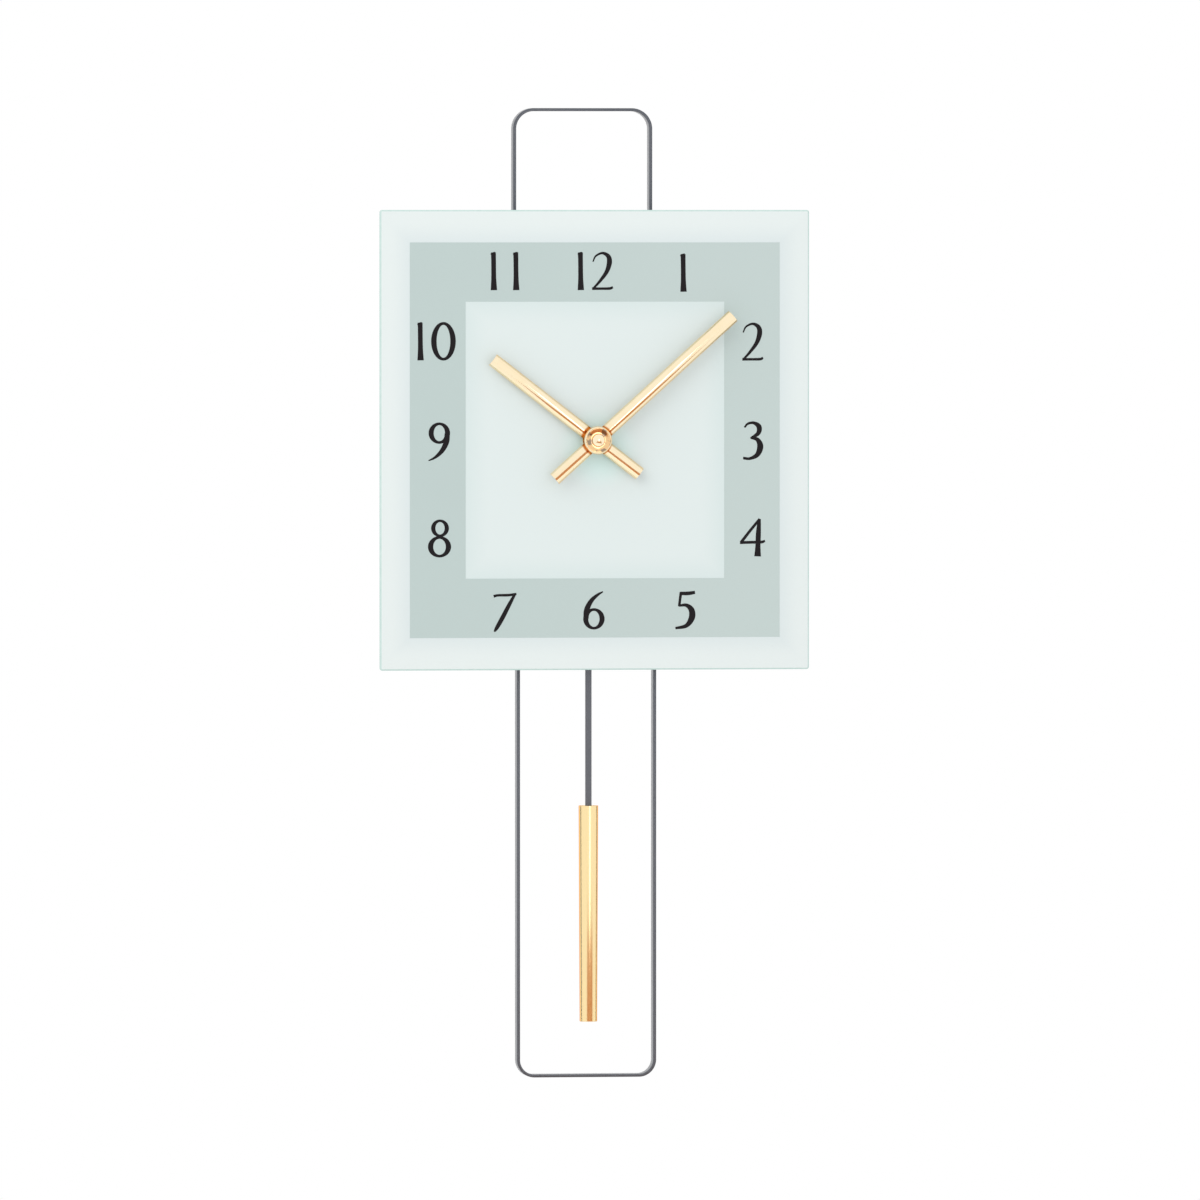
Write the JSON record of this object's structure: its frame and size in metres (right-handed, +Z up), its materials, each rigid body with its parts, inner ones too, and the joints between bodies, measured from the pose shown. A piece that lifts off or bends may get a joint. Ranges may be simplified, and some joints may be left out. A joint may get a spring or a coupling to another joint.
{
  "type": "pendulum wall clock",
  "caption": "Wall clock with a satin glass dial, flat-bar steel loops above and below it, brass hands and a slim swinging pendulum.",
  "frame": {"origin": "where the wall screw carries the keyhole, on the wall plane", "axes": "+Z up, the dial faces -Y, the wall is the plane y = 0 behind the clock, +X to the viewer's right"},
  "size_m": [0.26, 0.0802, 0.5837],
  "materials": {
    "satin_glass": "satin etched, white lacquered back, polished edge",
    "foam_tape": "closed-cell foam",
    "white_steel": "satin powder coat",
    "anthracite_steel": "satin metallic lacquer",
    "brass": "polished and satin turned",
    "zinc_steel": "bright zinc plated",
    "black_plastic": "fine spark texture",
    "white_plastic": "moulded acetal",
    "magnet": "ground ferrite",
    "copper_wire": "enamelled copper winding",
    "circuit_board": "solder mask",
    "rubber": "moulded rubber",
    "battery_jacket": "shrink sleeve"
  },
  "bodies": {
    "case": {"glass_dial_panel": "satin_glass", "adhesive_pad_left": "foam_tape", "adhesive_pad_right": "foam_tape", "carrier_tray": "white_steel", "hanger_plate": "zinc_steel", "hanger_screw_left": "zinc_steel", "hanger_screw_right": "zinc_steel", "wall_bumper_left": "rubber", "wall_bumper_right": "rubber", "upper_loop": "anthracite_steel", "lower_loop": "anthracite_steel", "upper_loop_screw_left_1": "zinc_steel", "upper_loop_screw_right_1": "zinc_steel", "upper_loop_screw_left_2": "zinc_steel", "upper_loop_screw_right_2": "zinc_steel", "lower_loop_screw_left_1": "zinc_steel", "lower_loop_screw_right_1": "zinc_steel", "lower_loop_screw_left_2": "zinc_steel", "lower_loop_screw_right_2": "zinc_steel", "movement_front_shell": "black_plastic", "movement_rear_cover": "black_plastic", "threaded_bush": "brass", "fixing_washer": "brass", "fixing_nut": "brass", "stator_plate": "zinc_steel", "coil_bobbin": "white_plastic", "coil_winding": "copper_wire", "circuit_board": "circuit_board", "quartz_crystal": "zinc_steel", "control_chip": "black_plastic", "battery": "battery_jacket", "battery_contact_positive": "zinc_steel", "battery_contact_negative": "zinc_steel", "pendulum_pivot_pin": "zinc_steel", "pivot_clip": "zinc_steel", "drive_coil": "copper_wire"},
    "minute_set": {"minute_arbor": "zinc_steel", "minute_hand": "brass", "minute_hand_collet": "brass", "hand_cap": "brass"},
    "hour_set": {"hour_wheel": "white_plastic", "hour_hand": "brass", "hour_hand_collet": "brass"},
    "motion_work": {"motion_wheel": "white_plastic"},
    "setting_set": {"setting_knob": "white_plastic"},
    "centre_set": {"centre_wheel": "white_plastic", "friction_spring": "zinc_steel"},
    "third_set": {"third_wheel": "white_plastic"},
    "second_set": {"second_wheel": "white_plastic"},
    "intermediate_set": {"intermediate_wheel": "white_plastic"},
    "rotor_set": {"rotor_pinion": "white_plastic", "rotor_magnet": "magnet"},
    "pendulum": {"pendulum_hanger": "white_plastic", "pendulum_magnet": "magnet", "pendulum_rod": "anthracite_steel", "bob_tube": "brass", "bob_top_plug": "brass", "bob_bottom_plug": "brass"}
  },
  "joints": [
    {"name": "minute_turn", "type": "hinge", "parent": "case", "child": "minute_set", "pos_m": [0, -0.06, -0.06], "axis": [0, 1, 0], "continuous": true},
    {"name": "hour_turn", "type": "hinge", "parent": "case", "child": "hour_set", "pos_m": [0, -0.06, -0.06], "axis": [0, 1, 0], "continuous": true},
    {"name": "motion_wheel_turn", "type": "hinge", "parent": "case", "child": "motion_work", "pos_m": [0.00854, -0.052, -0.06854], "axis": [0, 1, 0], "continuous": true},
    {"name": "setting_knob_turn", "type": "hinge", "parent": "case", "child": "setting_set", "pos_m": [0.01707, -0.05, -0.07707], "axis": [0, 1, 0], "continuous": true},
    {"name": "rotor_turn", "type": "hinge", "parent": "case", "child": "rotor_set", "pos_m": [0.01817, -0.05, -0.04737], "axis": [0, 1, 0], "continuous": true},
    {"name": "intermediate_turn", "type": "hinge", "parent": "case", "child": "intermediate_set", "pos_m": [0.00915, -0.05, -0.04409], "axis": [0, 1, 0], "continuous": true},
    {"name": "second_turn", "type": "hinge", "parent": "case", "child": "second_set", "pos_m": [-0.00205, -0.05, -0.04409], "axis": [0, 1, 0], "continuous": true},
    {"name": "third_turn", "type": "hinge", "parent": "case", "child": "third_set", "pos_m": [-0.01245, -0.05, -0.05281], "axis": [0, 1, 0], "continuous": true},
    {"name": "centre_turn", "type": "hinge", "parent": "case", "child": "centre_set", "pos_m": [0, -0.05, -0.06], "axis": [0, 1, 0], "continuous": true},
    {"name": "pendulum_swing", "type": "hinge", "parent": "case", "child": "pendulum", "pos_m": [0, -0.034, -0.046], "axis": [0, 1, 0], "range_deg": [-5, 5]}
  ],
  "couplings": [
    {"joint": "hour_turn", "follows": "minute_turn", "ratio": 0.083333},
    {"joint": "motion_wheel_turn", "follows": "minute_turn", "ratio": -0.33333},
    {"joint": "setting_knob_turn", "follows": "minute_turn", "ratio": 1},
    {"joint": "intermediate_turn", "follows": "rotor_turn", "ratio": -0.2},
    {"joint": "second_turn", "follows": "rotor_turn", "ratio": 0.033333},
    {"joint": "third_turn", "follows": "rotor_turn", "ratio": -0.0044444},
    {"joint": "centre_turn", "follows": "rotor_turn", "ratio": 0.00055556}
  ]
}
